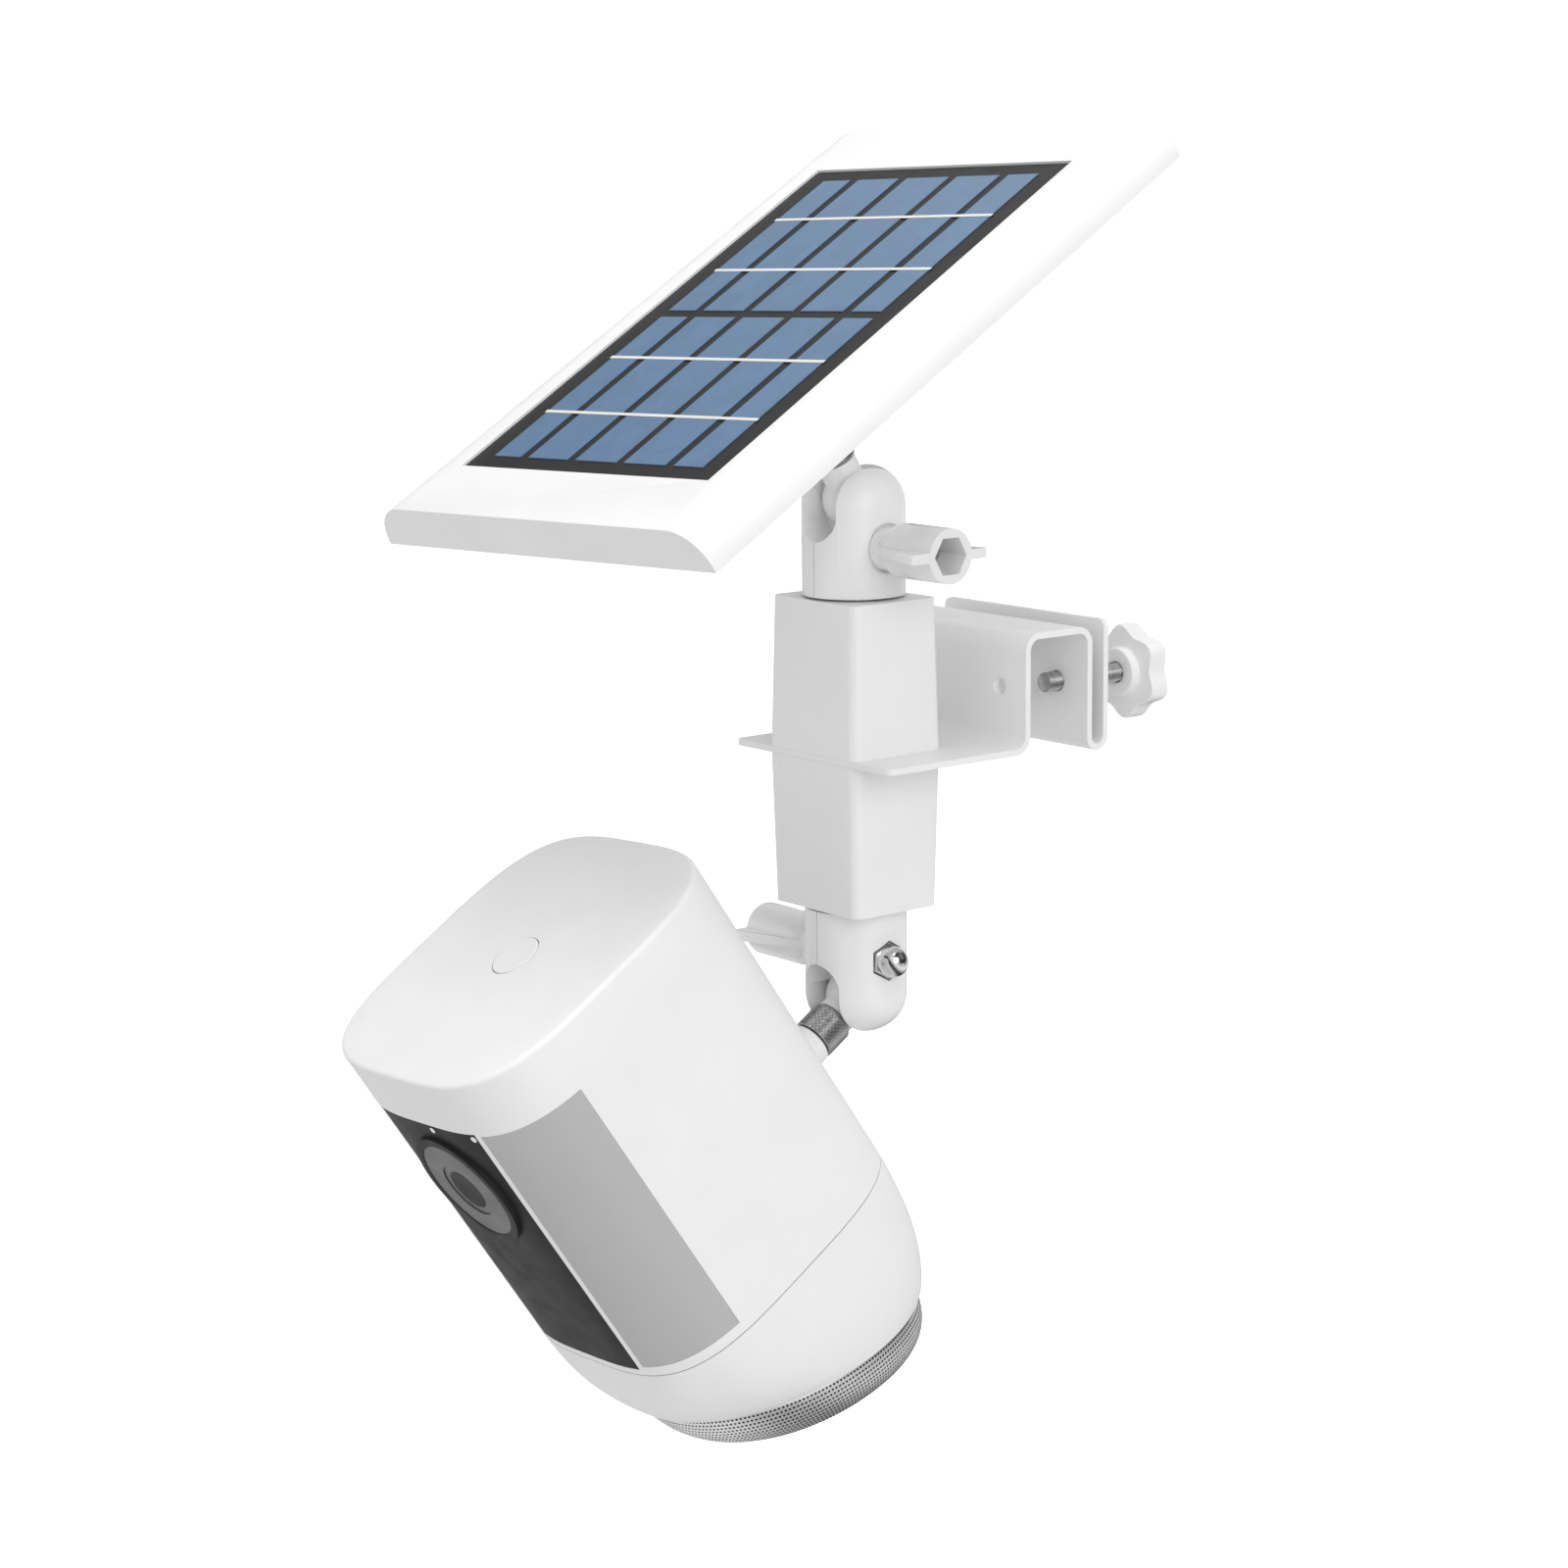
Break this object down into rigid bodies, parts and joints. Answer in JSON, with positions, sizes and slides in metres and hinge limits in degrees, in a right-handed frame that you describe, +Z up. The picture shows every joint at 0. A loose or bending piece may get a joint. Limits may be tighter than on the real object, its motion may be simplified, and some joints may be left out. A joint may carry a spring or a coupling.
{
  "type": "solar-powered security camera",
  "caption": "Battery security camera and its small solar panel on ball joints above and below a folded bracket that clamps on a gutter lip or fence.",
  "frame": {"origin": "centre of the underside of the channel roof, which sits on the gutter lip", "axes": "+X along the gutter, +Y towards the house, -Y to the front, +Z up"},
  "size_m": [0.1262, 0.2099, 0.3119],
  "materials": {
    "white_sheet": "powder coated, fine satin grain",
    "white_shell": "moulded, fine matt grain",
    "white_joint": "moulded, smooth satin",
    "white_clear": "semi-translucent nylon, glossy",
    "zinc_steel": "zinc plated, satin with fine grain",
    "bright_steel": "polished nickel plate",
    "brass": "machined, knurled",
    "solar_glass": "dark laminate under a clear coat",
    "solar_cell": "steel blue silicon with fine silver fingers",
    "ribbon": "tinned ribbon, satin",
    "board": "green solder mask",
    "black_plastic": "moulded, fine grain",
    "window": "smoked polycarbonate, glossy",
    "lens_glass": "coated glass with a dark pupil",
    "diffuser": "frosted light diffuser",
    "grille": "fine perforated sheet",
    "white_dot": "light pipe",
    "sensor_dome": "milky sensor lens"
  },
  "bodies": {
    "bracket": {"gutter_bracket": "white_sheet", "upper_block": "white_joint", "lower_block": "white_joint", "tie_stud": "zinc_steel", "upper_swivel_stud": "zinc_steel", "lower_swivel_stud": "zinc_steel", "upper_washer": "zinc_steel", "lower_washer": "zinc_steel"},
    "upper_socket": {"upper_socket_knob_half": "white_joint", "upper_socket_nut_half": "white_joint"},
    "upper_knob": {"upper_wing_knob": "white_clear", "upper_clamp_bolt": "zinc_steel"},
    "upper_nut": {"upper_acorn_nut": "bright_steel"},
    "upper_arm": {"upper_ball_stem": "white_joint"},
    "upper_lock": {"upper_lock_nut": "zinc_steel"},
    "panel": {"panel_frame": "white_shell", "panel_back_cover": "white_shell", "junction_box": "white_shell", "panel_insert": "brass", "panel_backing": "solar_glass", "solar_cells": "solar_cell", "bus_ribbons": "ribbon", "charge_board": "board", "cable_gland": "black_plastic", "panel_screws": "zinc_steel"},
    "lower_socket": {"lower_socket_knob_half": "white_joint", "lower_socket_nut_half": "white_joint"},
    "lower_knob": {"lower_wing_knob": "white_clear", "lower_clamp_bolt": "zinc_steel"},
    "lower_nut": {"lower_acorn_nut": "bright_steel"},
    "lower_arm": {"lower_ball_stem": "white_joint"},
    "lower_lock": {"lower_lock_nut": "zinc_steel"},
    "camera": {"camera_housing": "white_shell", "mount_boss": "white_shell", "boss_insert": "brass", "front_window": "window", "lens_bezel": "black_plastic", "lens_glass": "lens_glass", "lens_barrel": "black_plastic", "sensor_board": "board", "main_board": "board", "left_light_diffuser": "diffuser", "right_light_diffuser": "diffuser", "left_led_board": "board", "right_led_board": "board", "motion_sensor": "sensor_dome", "status_lights": "white_dot", "power_inlet": "black_plastic"},
    "button": {"setup_button": "white_shell"},
    "battery": {"battery_pack": "black_plastic"},
    "cap": {"battery_cap": "white_shell", "speaker": "black_plastic", "speaker_grille": "grille", "cap_screw": "zinc_steel"},
    "left_screw": {"left_side_screw": "zinc_steel"},
    "left_knob": {"left_star_knob": "white_joint"},
    "right_screw": {"right_side_screw": "zinc_steel"},
    "right_knob": {"right_star_knob": "white_joint"}
  },
  "joints": [
    {"name": "upper_swivel", "type": "hinge", "parent": "bracket", "child": "upper_socket", "pos_m": [0, -0.0404, -0.02695], "axis": [0, 0, 1], "range_deg": [-45, 45]},
    {"name": "upper_tilt", "type": "hinge", "parent": "upper_socket", "child": "upper_arm", "pos_m": [0, -0.0404, 0.0343], "axis": [1, 0, 0], "range_deg": [-30, 25]},
    {"name": "upper_lock_turn", "type": "hinge", "parent": "upper_arm", "child": "upper_lock", "pos_m": [0, -0.0404, 0.0343], "axis": [0, -0.5, 0.866], "range_deg": [-180, 180]},
    {"name": "panel_turn", "type": "hinge", "parent": "upper_arm", "child": "panel", "pos_m": [0, -0.0404, 0.0343], "axis": [0, -0.5, 0.866], "range_deg": [-23, 16.5]},
    {"name": "upper_knob_turn", "type": "hinge", "parent": "upper_socket", "child": "upper_knob", "pos_m": [0, -0.0404, 0.02335], "axis": [1, 0, 0], "range_deg": [0, 450]},
    {"name": "upper_nut_travel", "type": "slide", "parent": "upper_socket", "child": "upper_nut", "axis": [-1, 0, 0], "range_m": [0, 0.001]},
    {"name": "lower_swivel", "type": "hinge", "parent": "bracket", "child": "lower_socket", "pos_m": [0, -0.0404, -0.02695], "axis": [0, 0, 1], "range_deg": [-45, 45]},
    {"name": "lower_tilt", "type": "hinge", "parent": "lower_socket", "child": "lower_arm", "pos_m": [0, -0.0404, -0.0882], "axis": [1, 0, 0], "range_deg": [-17.8, 42.2]},
    {"name": "lower_lock_turn", "type": "hinge", "parent": "lower_arm", "child": "lower_lock", "pos_m": [0, -0.0404, -0.0882], "axis": [0, -0.8406, -0.5417], "range_deg": [-180, 180]},
    {"name": "camera_turn", "type": "hinge", "parent": "lower_arm", "child": "camera", "pos_m": [0, -0.0404, -0.0882], "axis": [0, -0.8406, -0.5417], "range_deg": [-18, 18]},
    {"name": "lower_knob_turn", "type": "hinge", "parent": "lower_socket", "child": "lower_knob", "pos_m": [0, -0.0404, -0.07725], "axis": [1, 0, 0], "range_deg": [0, 450]},
    {"name": "lower_nut_travel", "type": "slide", "parent": "lower_socket", "child": "lower_nut", "axis": [1, 0, 0], "range_m": [0, 0.001]},
    {"name": "button_press", "type": "slide", "parent": "camera", "child": "button", "axis": [0.0698, 0.5404, -0.8385], "range_m": [0, 0.0008], "stiffness_N_per_m": 600},
    {"name": "cap_pull", "type": "slide", "parent": "camera", "child": "cap", "axis": [0.0698, 0.5404, -0.8385], "range_m": [0, 0.11]},
    {"name": "battery_pull", "type": "slide", "parent": "camera", "child": "battery", "axis": [0.0698, 0.5404, -0.8385], "range_m": [0, 0.085]},
    {"name": "left_screw_travel", "type": "slide", "parent": "bracket", "child": "left_screw", "axis": [0, -1, 0], "range_m": [-0.005, 0.0125]},
    {"name": "left_knob_turn", "type": "hinge", "parent": "left_screw", "child": "left_knob", "pos_m": [-0.0183, 0, -0.0131], "axis": [0, -1, 0], "range_deg": [-2250, 5625]},
    {"name": "right_screw_travel", "type": "slide", "parent": "bracket", "child": "right_screw", "axis": [0, -1, 0], "range_m": [-0.005, 0.0125]},
    {"name": "right_knob_turn", "type": "hinge", "parent": "right_screw", "child": "right_knob", "pos_m": [0.0183, 0, -0.0131], "axis": [0, -1, 0], "range_deg": [-2250, 5625]}
  ],
  "couplings": [
    {"joint": "upper_knob_turn", "follows": "upper_nut_travel", "rad_per_m": 7853.2},
    {"joint": "lower_knob_turn", "follows": "lower_nut_travel", "rad_per_m": 7853.2},
    {"joint": "battery_pull", "follows": "cap_pull", "ratio": 0.7},
    {"joint": "left_knob_turn", "follows": "left_screw_travel", "rad_per_m": 7853.2},
    {"joint": "right_knob_turn", "follows": "right_screw_travel", "rad_per_m": 7853.2}
  ]
}
